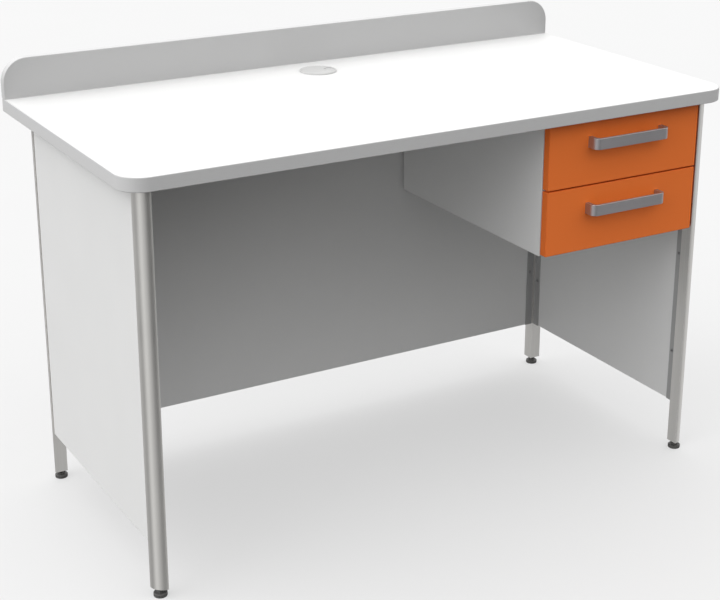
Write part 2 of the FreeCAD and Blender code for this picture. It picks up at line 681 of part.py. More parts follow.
# Drawers: a front, two sides, a back and a thin bottom, carried by a pair of slides
handle_screw = headed_screw("handle_screw", "handle_screw_head", "handle_screw_head_height",
                            "handle_screw_diameter", "handle_screw_length")
for tier, name in enumerate(("lower", "upper")):
    front_z = f"lower_front_z + {tier} * tier_step"
    box_z = f"{front_z} + box_lift"
    wall_z = f"{box_z} + box_bottom_sheet"
    handle_z = f"{front_z} + front_height - handle_drop"
    front_board = ("front_width", "front_thickness", "front_height")
    front = board(f"{name}_drawer_front", front_board, ("front_left_x", "leg_front_y", front_z))
    screws = []
    for side in (-1, 1):
        x = f"front_middle_x + {side} * handle_post_x"
        mouth = inside(front, (x, "leg_front_y", handle_z))
        bore(front, "handle_screw_diameter", "front_thickness", mouth, REARWARD)
        screws.append(((x, "front_back_y", handle_z), FORWARD))
    handle(f"{name}_handle", handle_z)
    group(f"{name}_handle_screws", handle_screw, screws)
    side_board = ("box_board", "box_length", "box_side_height")
    back_board = ("box_width - 2 * box_board", "box_board", "box_side_height")
    bottom_sheet = ("box_width", "box_length", "box_bottom_sheet")
    board(f"{name}_drawer_left_side", side_board, ("box_left_x", "front_back_y", wall_z))
    board(f"{name}_drawer_right_side", side_board, ("box_right_x - box_board", "front_back_y", wall_z))
    board(f"{name}_drawer_back", back_board, ("box_left_x + box_board", "box_back_y", wall_z))
    board(f"{name}_drawer_bottom", bottom_sheet, ("box_left_x", "front_back_y", box_z))
    slide(f"{name}_left_slide", "carcass_left_x", f"{box_z} + box_height / 2", 0)
    slide(f"{name}_right_slide", "carcass_right_x", f"{box_z} + box_height / 2", 180)

# Every object has to be sound before any file is written
doc.recompute()
for item in doc.Objects:
    if "Invalid" in item.State or "Error" in item.State:
        raise RuntimeError(f"{item.Label} did not compute")
for node in nodes:
    if node.Shape.isNull() or not node.Shape.isValid():
        raise RuntimeError(f"{node.Label} has no sound shape")

os.makedirs("parts", exist_ok=True)
for node in nodes:
    node.Shape.exportStep(f"parts/{node.Label}.step")
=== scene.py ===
import json
import math

import bmesh
import bpy
from mathutils import Matrix, Vector

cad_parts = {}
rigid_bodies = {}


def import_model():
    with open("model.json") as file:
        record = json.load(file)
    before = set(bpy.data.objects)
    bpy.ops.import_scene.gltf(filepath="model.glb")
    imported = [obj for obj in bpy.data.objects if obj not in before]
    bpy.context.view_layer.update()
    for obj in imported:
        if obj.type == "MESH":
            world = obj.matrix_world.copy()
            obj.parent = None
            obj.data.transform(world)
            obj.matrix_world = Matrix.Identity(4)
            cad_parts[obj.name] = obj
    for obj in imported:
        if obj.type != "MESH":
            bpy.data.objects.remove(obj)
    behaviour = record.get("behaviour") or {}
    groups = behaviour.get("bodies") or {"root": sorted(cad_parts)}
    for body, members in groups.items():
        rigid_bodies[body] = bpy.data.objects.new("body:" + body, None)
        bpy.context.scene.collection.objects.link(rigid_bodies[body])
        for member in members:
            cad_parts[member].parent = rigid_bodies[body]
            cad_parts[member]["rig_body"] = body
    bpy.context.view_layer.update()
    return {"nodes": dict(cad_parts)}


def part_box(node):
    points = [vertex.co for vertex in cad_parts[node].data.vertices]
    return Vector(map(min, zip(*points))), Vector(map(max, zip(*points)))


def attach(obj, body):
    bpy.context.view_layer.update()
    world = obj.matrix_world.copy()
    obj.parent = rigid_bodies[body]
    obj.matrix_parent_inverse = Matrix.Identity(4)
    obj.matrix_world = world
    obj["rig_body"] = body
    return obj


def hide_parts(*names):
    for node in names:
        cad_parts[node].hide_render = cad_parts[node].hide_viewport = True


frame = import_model()
nodes = frame["nodes"]

# Tabletop: a 24 mm chipboard slab, faced above and below with white melamine laminate that is pressed
# against a fine satin plate. It is bored through for the cable grommet, and from below for screws.
MM = 0.001
LAMINATE_WHITE = (0.755, 0.755, 0.75)


class Wire:
    """A shader value that can stand in an expression with numbers and other values."""

    def __init__(self, shading, socket):
        self.shading = shading
        self.socket = socket

    def worked_out(self, operation, first, second):
        return self.shading.node("Math", {"operation": operation}, {0: first, 1: second})

    def __add__(self, other):
        return self.worked_out("ADD", self, other)

    def __sub__(self, other):
        return self.worked_out("SUBTRACT", self, other)

    def __rsub__(self, other):
        return self.worked_out("SUBTRACT", other, self)

    def __mul__(self, other):
        return self.worked_out("MULTIPLY", self, other)

    def at_least(self, other):
        return self.worked_out("MAXIMUM", self, other)

    __radd__ = __add__
    __rmul__ = __mul__


class Shading:
    """A tree of shader nodes, which are added and joined from plain expressions."""

    def __init__(self, tree):
        self.tree = tree

    def join(self, node, sockets):
        """Set a node's sockets, or link them where the value is a wire."""
        for key, value in sockets.items():
            if isinstance(value, Wire):
                self.tree.links.new(value.socket, node.inputs[key])
            elif isinstance(value, tuple) and len(value) == 3 and node.inputs[key].type == "RGBA":
                node.inputs[key].default_value = (*value, 1)
            else:
                node.inputs[key].default_value = value

    def node(self, kind, settings, sockets, output=0):
        """Add a node: its settings first, then the values or wires of its sockets."""
        made = self.tree.nodes.new("ShaderNode" + kind)
        for key, value in settings.items():
            setattr(made, key, value)
        self.join(made, sockets)
        return Wire(self, made.outputs[output])


class Finish(Shading):
    """A material round one Principled shader, whose constant sockets are set at the start."""

    def __init__(self, name, **constants):
        self.material = bpy.data.materials.new(name)
        self.material.use_nodes = True
        super().__init__(self.material.node_tree)
        self.shader = self.tree.nodes["Principled BSDF"]
        self.show(**constants)

    def place(self):
        """The point on the piece, in metres, which moves with the piece."""
        return self.node("TexCoord", {}, {}, "Object")

    def grain(self, scale, detail=2.0, stretch=(1, 1, 1)):
        """Cloudy noise, from 0 to 1, with so many clouds to the metre along each axis."""
        spread = self.node("VectorMath", {"operation": "MULTIPLY"}, {0: self.place(), 1: stretch})
        return self.node("TexNoise", {}, {"Vector": spread, "Scale": scale, "Detail": detail})

    def worn_edge(self, radius):
        """A mask that rises from 0 on the flats to about 1 on sharp edges."""
        soft = self.node("Bevel", {"samples": 4}, {"Radius": radius})
        true = self.node("NewGeometry", {}, {}, "Normal")
        flat = self.node("VectorMath", {"operation": "DOT_PRODUCT"}, {0: soft, 1: true}, "Value")
        return self.node("MapRange", {"clamp": True}, {"Value": 1 - flat, "From Max": 0.25})

    def between(self, mask, first, second):
        """One colour where the mask is 0, another where it is 1."""
        return self.node("Mix", {"data_type": "RGBA"}, {0: mask, 6: first, 7: second}, 2)

    def show(self, **sockets):
        """Set or link the shader's own sockets, with underscores for the spaces in their names."""
        self.join(self.shader, {key.replace("_", " "): value for key, value in sockets.items()})

    def emboss(self, height, depth, strength):
        """Raise the surface where the height is great, by so many metres at most."""
        bump = self.node("Bump", {}, {"Height": height, "Distance": depth, "Strength": strength})
        self.show(Normal=bump)


def shaded(colour, share):
    """A colour made lighter or darker."""
    return tuple(part * share for part in colour)


def laminate(name, colour, gloss=0.5):
    """Melamine laminate: a fine pearled grain, faint clouds in the paper and an even satin gloss."""
    finish = Finish(name, IOR=1.5, Specular_IOR_Level=gloss)
    pearl = finish.grain(700, detail=3)
    cloud = finish.grain(9, detail=4)
    tone = finish.between(cloud * 0.6 + pearl * 0.4, shaded(colour, 0.965), shaded(colour, 1.03))
    finish.show(Base_Color=tone, Roughness=0.36 + pearl * 0.1 + cloud * 0.05)
    finish.emboss(pearl, 0.04 * MM, 0.5)
    return finish


def dress(node, finish):
    """Give a carried-over solid one finish all over."""
    mesh = nodes[node].data
    mesh.materials.clear()
    mesh.materials.append(finish.material)


white_laminate = laminate("white_laminate", LAMINATE_WHITE)
dress("tabletop", white_laminate)

# Edge band: a 2 mm strip of light grey plastic glued round the tabletop, with its arrises rounded
# over. The front corners are bent to a wide radius, and the rear corners are cut square.
BAND_GREY = (0.59, 0.59, 0.59)
BAND_THICKNESS = 2 * MM
BAND_ARRIS = 1.2 * MM
FRONT_CORNER = 45 * MM
REAR_CORNER = 2.6 * MM
WIDE_CORNER_STEPS = 24
ARRIS_STEPS = 4
SHARP_TURN = math.radians(40)


def edging(name, colour, gloss=0.5):
    """Extruded plastic edging: long drawn lines, fine grain and rubbed, lighter arrises."""
    finish = Finish(name, IOR=1.48, Specular_IOR_Level=gloss)
    drawn = finish.grain(90, detail=2, stretch=(1, 1, 25))
    fine = finish.grain(1600)
    rubbed = finish.worn_edge(0.8 * MM)
    body = finish.between(drawn * 0.7 + fine * 0.3, shaded(colour, 0.95), shaded(colour, 1.05))
    finish.show(Base_Color=finish.between(rubbed * 0.6, body, shaded(colour, 1.1)))
    finish.show(Roughness=0.34 + drawn * 0.1 - rubbed * 0.06)
    finish.emboss(fine * 0.5 + drawn * 0.5, 0.03 * MM, 0.4)
    return finish


def arc(centre, radius, start, end, steps):
    """Points of a circular arc, with its angles in degrees."""
    angles = [math.radians(start + (end - start) * step / steps) for step in range(steps + 1)]
    return [Vector(centre) + radius * Vector((math.cos(angle), math.sin(angle))) for angle in angles]


def rounded_rectangle(low, high, radii, steps):
    """An outline with its own radius at each corner, anticlockwise from the lower left."""
    (left, bottom), (right, top) = low, high
    corners = [
        (left, bottom, 1, 1, 180), (right, bottom, -1, 1, 270),
        (right, top, -1, -1, 0), (left, top, 1, -1, 90),
    ]
    outline = []
    for (x, y, inward_x, inward_y, start), radius in zip(corners, radii):
        centre = (x + inward_x * radius, y + inward_y * radius)
        outline += arc(centre, radius, start, start + 90, steps)
    return outline


def drawn_in(outline, distance):
    """An anticlockwise outline moved inwards by a distance."""
    moved = []
    for before, here, after in zip(outline[-1:] + outline[:-1], outline, outline[1:] + outline[:1]):
        arriving = (here - before).normalized()
        leaving = (after - here).normalized()
        first = Vector((-arriving.y, arriving.x))
        second = Vector((-leaving.y, leaving.x))
        moved.append(here + (first + second) * (distance / (1 + first.dot(second))))
    return moved


def finished_piece(name, mesh, *finishes):
    """Turn a mesh into a smooth-shaded object with its finishes."""
    bmesh.ops.recalc_face_normals(mesh, faces=mesh.faces)
    for face in mesh.faces:
        face.smooth = True
    for edge in mesh.edges:
        edge.smooth = edge.calc_face_angle(0) < SHARP_TURN
    data = bpy.data.meshes.new(name)
    mesh.to_mesh(data)
    mesh.free()
    for finish in finishes:
        data.materials.append(finish.material)
    piece = bpy.data.objects.new(name, data)
    bpy.context.scene.collection.objects.link(piece)
    piece.modifiers.new("flat faces", "WEIGHTED_NORMAL").keep_sharp = True
    return piece


def stands_for(piece, *replaced):
    """Let a piece ride with the solids that it replaces, and hide them."""
    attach(piece, nodes[replaced[0]]["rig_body"])
    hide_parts(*replaced)


def slab(mesh, outline, low, high, stand, arris, band=0.0, hollow=False):
    """Build a slab of an outline between two levels, with rounded arrises.

    The faces have finish 0. The rim has finish 1, with a band's width of each face. A hollow slab
    has no faces, and its band is its wall.
    """
    quarter = [math.radians(90 * step / ARRIS_STEPS) for step in range(ARRIS_STEPS + 1)]
    turn = [(arris * (1 - math.cos(angle)), arris * (1 - math.sin(angle))) for angle in quarter]
    lower = [(inward, low + rise) for rise, inward in turn]
    upper = [(inward, high - rise) for rise, inward in reversed(turn)]
    levels = [(band, low)] * (band > arris) + lower + upper + [(band, high)] * (band > arris)
    rings = []
    for inward, level in levels:
        points = drawn_in(outline, inward)
        rings.append([mesh.verts.new(stand(point.x, point.y, level)) for point in points])
    pairs = list(zip(rings, rings[1:])) + [(rings[-1], rings[0])] * hollow
    for ring, following in pairs:
        for here in range(len(ring)):
            face = mesh.faces.new((ring[here - 1], ring[here], following[here], following[here - 1]))
            face.material_index = 1
    if not hollow:
        mesh.faces.new(rings[0])
        mesh.faces.new(rings[-1])


THIN_ALONG = {
    "x": lambda across, along, level: (level, across, along),
    "y": lambda across, along, level: (across, level, along),
    "z": lambda across, along, level: (across, along, level),
}

band_grey = edging("band_plastic", BAND_GREY)
low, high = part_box("tabletop_edge_band")
top_corners = (FRONT_CORNER, FRONT_CORNER, REAR_CORNER, REAR_CORNER)
top_outline = rounded_rectangle(low.xy, high.xy, top_corners, WIDE_CORNER_STEPS)
band_mesh = bmesh.new()
slab(band_mesh, top_outline, low.z, high.z, THIN_ALONG["z"], BAND_ARRIS, BAND_THICKNESS, hollow=True)
edge_band = finished_piece("tabletop_band", band_mesh, band_grey, band_grey)
stands_for(edge_band, "tabletop_edge_band")

# Rear upstand: a 16 mm board on edge along the rear of the top, faced in the top's white laminate, painted
# darker grey as painted shade, and screwed from below. Its upper corners are rounded, and thin plastic
# edging covers its edges.
UPSTAND_CORNER = 45 * MM
BOARD_ARRIS = 0.7 * MM
BOARD_EDGING = 1.2 * MM
BOARD_CORNER = 1.6 * MM
EDGING_WHITE = (0.70, 0.70, 0.695)
# The upstand's laminate colour is the white darkened to grey: painted shade on its upright face.
UPSTAND_PAINTED_SHADE = (0.48, 0.48, 0.48)

white_edging = edging("white_edging", EDGING_WHITE)
grey_laminate = laminate("grey_laminate", UPSTAND_PAINTED_SHADE)
low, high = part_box("rear_upstand")
upstand_corners = (BOARD_CORNER, BOARD_CORNER, UPSTAND_CORNER, UPSTAND_CORNER)
upstand_outline = rounded_rectangle(low.xz, high.xz, upstand_corners, WIDE_CORNER_STEPS)
upstand_mesh = bmesh.new()
slab(upstand_mesh, upstand_outline, low.y, high.y, THIN_ALONG["y"], BOARD_ARRIS, BOARD_EDGING)
upstand = finished_piece("upstand_board", upstand_mesh, grey_laminate, band_grey)
stands_for(upstand, "rear_upstand")

# Cable grommet: a flanged sleeve of white moulded plastic pressed into the top's bore, and a cap that
# turns in the flange, so that its notch lets a cable out on any side. A springy flap covers the notch.
GROMMET_WHITE = (0.53, 0.53, 0.525)
GROMMET_ROUNDING = 0.9 * MM
CAP_ROUNDING = 0.5 * MM
NOTCH_WIDTH = 16 * MM
NOTCH_DEPTH = 17 * MM
FLAP_HINGE = 40
FLAP_BITE = 0.3 * MM
FLAP_SLIT = 1.7 * MM
FLAP_MOUTH = 5 * MM
FLAP_SHEET = 0.8 * MM
FLAP_DROP = 0.8 * MM
FLAP_CORNER = 2.5 * MM
FLAP_ARRIS = 0.15 * MM
SLEEVE_WALL = 2 * MM
SEAT_DEPTH = 1.8 * MM
LIP_WIDTH = 3.7 * MM
LIP_CHAMFER = (0.5 * MM, 0.4 * MM)
CAP_LIP = 2 * MM
CAP_LIFT = 0.3 * MM
GROMMET_SEGMENTS = 72


def moulded(name, colour, roughness):
    """Moulded plastic: an even spark-eroded grain and slightly polished edges."""
    finish = Finish(name, IOR=1.48)
    fine = finish.grain(1900, detail=2)
    flow = finish.grain(35, detail=2)
    worn = finish.worn_edge(0.8 * MM)
    tone = finish.between(flow, shaded(colour, 0.95), shaded(colour, 1.04))
    finish.show(Base_Color=finish.between(worn, tone, shaded(colour, 1.12)))
    finish.show(Roughness=roughness + fine * 0.12 - worn * 0.1)
    finish.emboss(fine, 0.05 * MM, 0.5)
    return finish


def lathe(mesh, profile, centre, segments, ripple=None):
    """Turn a closed profile of radii and heights about an upright axis."""
    rings = []
    for radius, height in profile:
        ring = []
        for step in range(segments):
            angle = 2 * math.pi * step / segments
            reach = radius if ripple is None else ripple(radius, height, angle)
            spoke = Vector((math.cos(angle), math.sin(angle), 0)) * reach
            ring.append(mesh.verts.new(Vector(centre) + spoke + Vector((0, 0, height))))
        rings.append(ring)
    for ring, following in zip(rings, rings[1:] + rings[:1]):
        for here in range(segments):
            mesh.faces.new((ring[here - 1], ring[here], following[here], following[here - 1]))


grommet_plastic = moulded("grommet_plastic", GROMMET_WHITE, roughness=0.36)
low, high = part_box("grommet_sleeve")
grommet_centre = (low + high) / 2
grommet_centre.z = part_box("tabletop")[1].z
flange = (high.x - low.x) / 2
flange_top = high.z - grommet_centre.z
cap_low, cap_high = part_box("grommet_cap")
cap_radius = (cap_high.y - cap_low.y) / 2
bore = cap_radius - CAP_LIP
tube_end = low.z - grommet_centre.z
lip = flange - LIP_WIDTH
rim_heart = (flange - GROMMET_ROUNDING, flange_top - GROMMET_ROUNDING)
rounding = arc(rim_heart, GROMMET_ROUNDING, 0, 90, 5)
sleeve_profile = [
    (bore - SLEEVE_WALL, tube_end), (bore, tube_end), (bore, 0), (flange, 0), *rounding,
    (lip + LIP_CHAMFER[0], flange_top), (lip, flange_top - LIP_CHAMFER[1]),
    (lip, flange_top - SEAT_DEPTH), (bore - SLEEVE_WALL, flange_top - SEAT_DEPTH),
]
sleeve_mesh = bmesh.new()
lathe(sleeve_mesh, sleeve_profile, grommet_centre, GROMMET_SEGMENTS)
sleeve = finished_piece("grommet_ring", sleeve_mesh, grommet_plastic)
stands_for(sleeve, "grommet_sleeve")

notch_middle = cap_radius - NOTCH_DEPTH + NOTCH_WIDTH / 2
mouth = math.degrees(math.asin(NOTCH_WIDTH / 2 / cap_radius))
cap_outline = arc((0, 0), cap_radius, mouth, 360 - mouth, 80)
cap_outline += arc((notch_middle, 0), NOTCH_WIDTH / 2, 270, 90, 16)


def on_grommet(across, along, level):
    return (grommet_centre.x + across, grommet_centre.y + along, level)


cap_mesh = bmesh.new()
cap_floor = grommet_centre.z + flange_top - SEAT_DEPTH + CAP_LIFT
slab(cap_mesh, cap_outline, cap_floor, cap_high.z, on_grommet, CAP_ROUNDING)
flap_side = NOTCH_WIDTH / 2 - FLAP_SLIT
flap_end = cap_radius - FLAP_MOUTH
flap_root = NOTCH_WIDTH / 2 + FLAP_BITE
flap_outline = arc((notch_middle, 0), flap_root, 180 - FLAP_HINGE, 180 + FLAP_HINGE, 8)
flap_outline += arc((notch_middle, 0), flap_side, 180 + FLAP_HINGE, 270, 12)
flap_outline += arc((flap_end - FLAP_CORNER, FLAP_CORNER - flap_side), FLAP_CORNER, 270, 360, 6)
flap_outline += arc((flap_end - FLAP_CORNER, flap_side - FLAP_CORNER), FLAP_CORNER, 0, 90, 6)
flap_outline += arc((notch_middle, 0), flap_side, 90, 180 - FLAP_HINGE, 12)
flap_top = cap_high.z - FLAP_DROP
slab(cap_mesh, flap_outline, flap_top - FLAP_SHEET, flap_top, on_grommet, FLAP_ARRIS)
cap = finished_piece("grommet_lid", cap_mesh, grommet_plastic, grommet_plastic)
stands_for(cap, "grommet_cap")

# Legs: hollow quarter-round extrusions of aluminium, anodised in a warm satin grey. Each is sawn to
# length, closed below by a plug, and stands under a corner of the top.
LEG_METAL = (0.86, 0.847, 0.818)
LEG_WALL = 2 * MM
LEG_ARRIS = 0.5 * MM


def satin_metal(name, colour, roughness, along):
    """Satin metal with fine drawn lines along one axis and brighter, rubbed arrises."""
    stretch = tuple(0.02 if axis == along else 1 for axis in "xyz")
    finish = Finish(name, Metallic=1.0)
    lines = finish.grain(2600, detail=2, stretch=stretch)
    streaks = finish.grain(260, detail=3, stretch=stretch)
    clouds = finish.grain(14, detail=3)
    worn = finish.worn_edge(0.8 * MM)
    tone = finish.between(streaks * 0.6 + clouds * 0.4, shaded(colour, 0.9), shaded(colour, 1.08))
    finish.show(Base_Color=finish.between(worn * 0.7, tone, shaded(colour, 1.35)))
    finish.show(Roughness=roughness + lines * 0.1 + clouds * 0.06 - worn * 0.08)
    finish.emboss(lines * 0.6 + streaks * 0.4, 0.03 * MM, 0.5)
    return finish


def leg(corner, outward_x, outward_y):
    """A quarter-round tube whose rounding faces outwards."""
    low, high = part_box(f"{corner}_leg")
    side = high.x - low.x
    heart = Vector((low.x if outward_x > 0 else high.x, low.y if outward_y > 0 else high.y))

    def stand(across, along, level):
        return (heart.x + outward_x * across, heart.y + outward_y * along, level)

    section = [Vector((0, 0)), *arc((0, 0), side, 0, 90, 28)]
    mesh = bmesh.new()
    slab(mesh, section, low.z, high.z, stand, LEG_ARRIS, LEG_WALL, hollow=True)
    piece = finished_piece(f"{corner}_post", mesh, leg_metal, leg_metal)
    stands_for(piece, f"{corner}_leg")


CORNERS = {"front_left": (-1, -1), "front_right": (1, -1), "rear_left": (-1, 1), "rear_right": (1, 1)}
leg_metal = satin_metal("leg_metal", LEG_METAL, roughness=0.28, along="z")
for corner, (outward_x, outward_y) in CORNERS.items():
    leg(corner, outward_x, outward_y)

# Levelling feet: dark moulded pads with grip ribs, a hexagon for the spanner and a threaded stem that
# runs in the plug at the lower end of each leg.
FOOT_DARK = (0.085, 0.083, 0.08)
RIB_COUNT = 18
RIB_DEPTH = 0.5 * MM
PAD_HEIGHT = 7 * MM
PAD_ROUNDING = 1.4 * MM
HEXAGON_RADIUS = 7.5 * MM
HEXAGON_HEIGHT = 4 * MM
STEM_RADIUS = 4 * MM
THREAD_PITCH = 1.25 * MM
THREAD_DEPTH = 0.4 * MM
THREAD_STEPS = 8
HEXAGON_BEVEL = 0.6 * MM
STEM_NECK = 0.5 * MM
CORE = 0.2 * MM
HAIR = 0.01 * MM
FOOT_SEGMENTS = 144

foot_plastic = moulded("foot_plastic", FOOT_DARK, roughness=0.42)


def foot(corner):
    """Turn one foot, with its ribs, hexagon and thread as ripples on the turned form."""
    low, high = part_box(f"{corner}_foot")
    centre = (low + high) / 2
    centre.z = low.z
    pad_radius = (high.x - low.x) / 2
    hexagon_top = PAD_HEIGHT + HEXAGON_HEIGHT

    def ripple(radius, height, angle):
        if height < PAD_HEIGHT and radius > pad_radius - PAD_ROUNDING / 2:
            return radius - RIB_DEPTH * max(0, math.cos(RIB_COUNT * angle))
        if PAD_HEIGHT < height <= hexagon_top and radius > STEM_RADIUS:
            sector = math.radians(60)
            return radius * math.cos(sector / 2) / math.cos(angle % sector - sector / 2)
        if height > hexagon_top and radius == STEM_RADIUS:
            turn = (height / THREAD_PITCH - angle / (2 * math.pi)) % 1
            return radius - THREAD_DEPTH * abs(2 * turn - 1)
        return radius

    lower = arc((pad_radius - PAD_ROUNDING, PAD_ROUNDING), PAD_ROUNDING, 270, 360, 5)
    upper = arc((pad_radius - PAD_ROUNDING, PAD_HEIGHT - PAD_ROUNDING), PAD_ROUNDING, 0, 90, 5)
    top = high.z - low.z
    turns = range(round((top - hexagon_top) / THREAD_PITCH * THREAD_STEPS))
    thread = [(STEM_RADIUS, hexagon_top + (step + 1) * THREAD_PITCH / THREAD_STEPS) for step in turns]
    profile = [
        (CORE, 0), *lower, *upper,
        (HEXAGON_RADIUS, PAD_HEIGHT + HAIR), (HEXAGON_RADIUS, hexagon_top - HEXAGON_BEVEL),
        (HEXAGON_RADIUS - HEXAGON_BEVEL, hexagon_top), (STEM_RADIUS - STEM_NECK, hexagon_top),
        *((radius, min(height, top)) for radius, height in thread), (CORE, top),
    ]
    mesh = bmesh.new()
    lathe(mesh, profile, centre, FOOT_SEGMENTS, ripple)
    piece = finished_piece(f"{corner}_leveller", mesh, foot_plastic)
    stands_for(piece, f"{corner}_foot")


for corner in CORNERS:
    foot(corner)
dress("leg_inserts", foot_plastic)

# Side and modesty panels: 16 mm laminated boards between the legs, with thin white edging on all four
# edges. Bent angles hold them to the legs, and short ones to the top.
BOARD_CORNER_STEPS = 3


def board(node, thin, face, rim, arris=BOARD_ARRIS, band=BOARD_EDGING):
    """A flat board in a solid's place, with its rounded rim in the edging's finish."""
    low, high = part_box(node)
    kept = [axis for axis in "xyz" if axis != thin]
    start = Vector([getattr(low, axis) for axis in kept])
    end = Vector([getattr(high, axis) for axis in kept])
    outline = rounded_rectangle(start, end, [BOARD_CORNER] * 4, BOARD_CORNER_STEPS)
    mesh = bmesh.new()
    slab(mesh, outline, getattr(low, thin), getattr(high, thin), THIN_ALONG[thin], arris, band)
    piece = finished_piece(f"{node}_board", mesh, face, rim)
    stands_for(piece, node)


board("left_side_panel", "x", white_laminate, white_edging)
board("right_side_panel", "x", white_laminate, white_edging)
board("modesty_panel", "y", white_laminate, white_edging)

# Fixing angles: 16 mm angles of bent steel sheet, powder coated in grey, that join the panels to the
# legs and to the top with countersunk screws.
ANGLE_GREY = (0.36, 0.36, 0.36)


def powder_coat(name, colour):
    """Powder coat: a fine orange peel, a soft gloss and edges where the coat runs thin."""
    finish = Finish(name, IOR=1.5)
    peel = finish.grain(650, detail=1)
    clouds = finish.grain(20, detail=3)
    worn = finish.worn_edge(0.7 * MM)
    tone = finish.between(clouds, shaded(colour, 0.92), shaded(colour, 1.06))
    finish.show(Base_Color=finish.between(worn * 0.5, tone, shaded(colour, 1.5)))
    finish.show(Roughness=0.38 + peel * 0.14)
    finish.emboss(peel, 0.08 * MM, 0.6)
    return finish


angle_grey = powder_coat("angle_grey", ANGLE_GREY)
for side in ("left", "right"):
    dress(f"front_{side}_angle", angle_grey)
    dress(f"rear_{side}_side_angle", angle_grey)
    dress(f"rear_{side}_back_angle", angle_grey)
dress("top_brackets", angle_grey)

# Screws: steel with cross recesses, burnished dark and countersunk in the angles, and zinc-plated in
# the rails and where flat heads hold the upstand and the handles.
ZINC = (0.66, 0.67, 0.68)
BURNISHED = (0.34, 0.34, 0.345)
RECESS_REACH = 0.56
RECESS_WIDTH = 0.17
RECESS_DEPTH = 1.3 * MM
RECESS_TAPER = 0.6
RECESS_SHARE = 0.8
SCREW_SEGMENTS = 24
SHORT_SHANK = 2 * MM
SHORT_HEAD = 2 * MM
LONG_SHANK = 3 * MM
LONG_HEAD = 3 * MM

zinc_plate = satin_metal("zinc_plate", ZINC, roughness=0.26, along="y")
burnished_steel = satin_metal("burnished_steel", BURNISHED, roughness=0.3, along="y")


def islands(node):
    """The separate bodies of a solid's mesh, each as a list of points."""
    mesh = bmesh.new()
    mesh.from_mesh(nodes[node].data)
    bmesh.ops.remove_doubles(mesh, verts=mesh.verts, dist=0.001 * MM)
    left = dict.fromkeys(mesh.verts)
    found = []
    while left:
        reached = [left.popitem()[0]]
        for vertex in reached:
            for edge in vertex.link_edges:
                other = edge.other_vert(vertex)
                if other in left:
                    del left[other]
                    reached.append(other)
        found.append([vertex.co.copy() for vertex in reached])
    mesh.free()
    return found


def screw_in(points):
    """A screw's head radius, its head's middle and the way it points, from its own points."""
    low = Vector([min(point[axis] for point in points) for axis in range(3)])
    high = Vector([max(point[axis] for point in points) for axis in range(3)])
    length = max(range(3), key=lambda axis: (high - low)[axis])
    across = (length + 1) % 3
    head = max(points, key=lambda point: abs(point[across] - (low + high)[across] / 2))
    way = Vector((0, 0, 0))
    way[length] = 1 if head[length] < (low + high)[length] / 2 else -1
    middle = (low + high) / 2
    middle[length] = low[length] if way[length] > 0 else high[length]
    return (high - low)[across] / 2, middle, way, (high - low)[length]


def screw(mesh, head, middle, way, length, shank, head_height, countersunk):
    """Add a cross-recessed screw that starts at its head's outer face."""
    to_place = Matrix.Translation(middle) @ way.to_track_quat("Z", "Y").to_matrix().to_4x4()
    reach = head * RECESS_REACH
    half = head * RECESS_WIDTH
    rim = [point.to_3d() for point in arc((0, 0), head, 0, 360, SCREW_SEGMENTS)[:-1]]
    arms = []
    for quarter in range(4):
        spin = Matrix.Rotation(math.radians(90 * quarter), 3, "Z")
        corners = ((half, -half, 0), (reach, -half, 0), (reach, half, 0))
        arms += [spin @ Vector(corner) for corner in corners]
    sink = Vector((0, 0, min(RECESS_DEPTH, head_height * RECESS_SHARE)))
    narrow = head if not countersunk else shank
    rings = [
        [point * RECESS_TAPER + sink for point in arms], arms,
        rim, [Vector((point.x * narrow / head, point.y * narrow / head, head_height)) for point in rim],
        [Vector((point.x * shank / head, point.y * shank / head, head_height)) for point in rim],
        [Vector((point.x * shank / head, point.y * shank / head, length - shank)) for point in rim],
    ]
    placed = [[mesh.verts.new(to_place @ point) for point in ring] for ring in rings]
    tip = mesh.verts.new(to_place @ Vector((0, 0, length)))
    recess, mouth, *turned = placed
    mesh.faces.new(recess)
    for here in range(len(mouth)):
        mesh.faces.new((recess[here - 1], recess[here], mouth[here], mouth[here - 1]))
    edges = []
    for ring in (mouth, turned[0]):
        for pair in zip(ring[-1:] + ring[:-1], ring):
            edges.append(mesh.edges.get(pair) or mesh.edges.new(pair))
    bmesh.ops.triangle_fill(mesh, edges=edges, use_beauty=True)
    for ring, following in zip(turned, turned[1:]):
        if (ring[0].co - following[0].co).length > HAIR:
            for here in range(SCREW_SEGMENTS):
                mesh.faces.new((ring[here - 1], ring[here], following[here], following[here - 1]))
    for here in range(SCREW_SEGMENTS):
        mesh.faces.new((turned[-1][here - 1], turned[-1][here], tip))


def screws(node, name, shank, head_height, countersunk, metal=zinc_plate):
    """Make a set of screws in the places of a solid's own."""
    mesh = bmesh.new()
    for points in islands(node):
        head, middle, way, length = screw_in(points)
        screw(mesh, head, middle, way, length, shank, head_height, countersunk)
    piece = finished_piece(name, mesh, metal)
    stands_for(piece, node)


screws("angle_screws", "angle_screw_set", SHORT_SHANK, SHORT_HEAD, countersunk=True, metal=burnished_steel)
screws("upstand_screws", "upstand_screw_set", LONG_SHANK, LONG_HEAD, countersunk=False)

# Pedestal: a box of 16 mm white boards under the right half of the top, open at the front, with a thin
# hardboard back. Two rails across its upper edge are screwed up into the top.
HARDBOARD_WHITE = (0.66, 0.655, 0.64)
SHEET_ARRIS = 0.3 * MM

hardboard = laminate("hardboard", HARDBOARD_WHITE)
board("pedestal_left_side", "x", white_laminate, white_edging)
board("pedestal_right_side", "x", white_laminate, white_edging)
board("pedestal_bottom", "z", white_laminate, white_edging)
board("pedestal_front_rail", "z", white_laminate, white_edging)
board("pedestal_rear_rail", "z", white_laminate, white_edging)
board("pedestal_back", "y", hardboard, hardboard, SHEET_ARRIS, SHEET_ARRIS)
screws("pedestal_screws", "rail_screw_set", SHORT_SHANK, SHORT_HEAD, countersunk=True)

